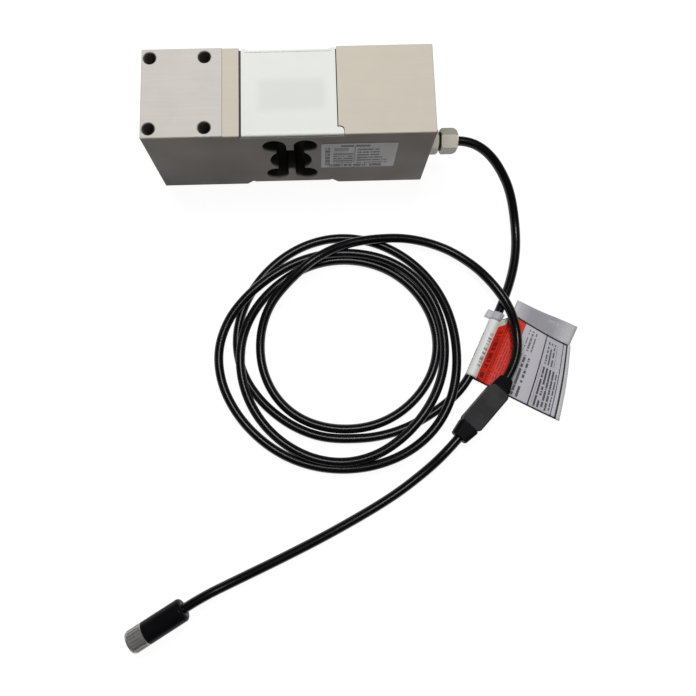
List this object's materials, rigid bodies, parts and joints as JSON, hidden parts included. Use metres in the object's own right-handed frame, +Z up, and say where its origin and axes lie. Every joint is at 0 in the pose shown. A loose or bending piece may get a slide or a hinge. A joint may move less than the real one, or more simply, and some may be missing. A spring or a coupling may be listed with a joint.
{
  "type": "strain gauge load cell",
  "caption": "Single-point strain gauge load cell: rectangular metal beam with a bored flexure window, sealed gauge covers, gland and a coiled cable with inline module and round connector.",
  "frame": {"origin": "bottom centre of the beam, on the surface that it and its cable lie on", "axes": "+X along the beam from the load end to the cable end, +Y to the back, +Z up"},
  "size_m": [0.29, 0.3584, 0.064],
  "materials": {
    "beam_metal": "satin anodised, fine milled",
    "gauge_film": "amber backing film",
    "wire_lacquer": "lacquered copper",
    "wire_sleeve": "sleeved bundle",
    "board_laminate": "glass laminate with solder resist",
    "chip_body": "dark chip",
    "cover_moulding": "matt off-white",
    "plate_foil": "satin silver foil",
    "gland_metal": "nickel plated",
    "seal_rubber": "soft black",
    "cable_jacket": "semi-gloss black",
    "module_moulding": "dark grey, fine texture",
    "boot_rubber": "semi-gloss black",
    "connector_grip": "smooth black",
    "carrier_plastic": "black insulator",
    "contact_metal": "gold plated",
    "nut_metal": "nickel plated, knurled",
    "tag_film": "glossy printed film"
  },
  "bodies": {
    "load_cell": {"beam": "beam_metal", "gauge_top_left": "gauge_film", "gauge_top_right": "gauge_film", "gauge_base_left": "gauge_film", "gauge_base_right": "gauge_film", "top_bridge_wires": "wire_lacquer", "base_bridge_wires": "wire_lacquer", "conductor_bundle": "wire_sleeve", "terminal_board": "board_laminate", "module_board": "board_laminate", "trim_resistors": "chip_body", "top_cover": "cover_moulding", "base_cover": "cover_moulding", "rating_plate": "plate_foil", "gland_body": "gland_metal", "gland_nut": "gland_metal", "gland_o_ring": "seal_rubber", "gland_seal": "seal_rubber", "connector_seal": "seal_rubber", "cable_lead": "cable_jacket", "cable_coil": "cable_jacket", "cable_run_out": "cable_jacket", "cable_tail": "cable_jacket", "module_upper_shell": "module_moulding", "module_lower_shell": "module_moulding", "module_boot_in": "boot_rubber", "module_boot_out": "boot_rubber", "connector_body": "connector_grip", "contact_carrier": "carrier_plastic", "contact_sockets": "contact_metal", "cable_tag": "tag_film"},
    "coupling_nut": {"coupling_nut": "nut_metal"}
  },
  "joints": [
    {"name": "coupling_nut_spin", "type": "hinge", "parent": "load_cell", "child": "coupling_nut", "pos_m": [-0.09796, -0.32094, 0.0073], "axis": [-0.8607, -0.509, 0], "continuous": true}
  ]
}
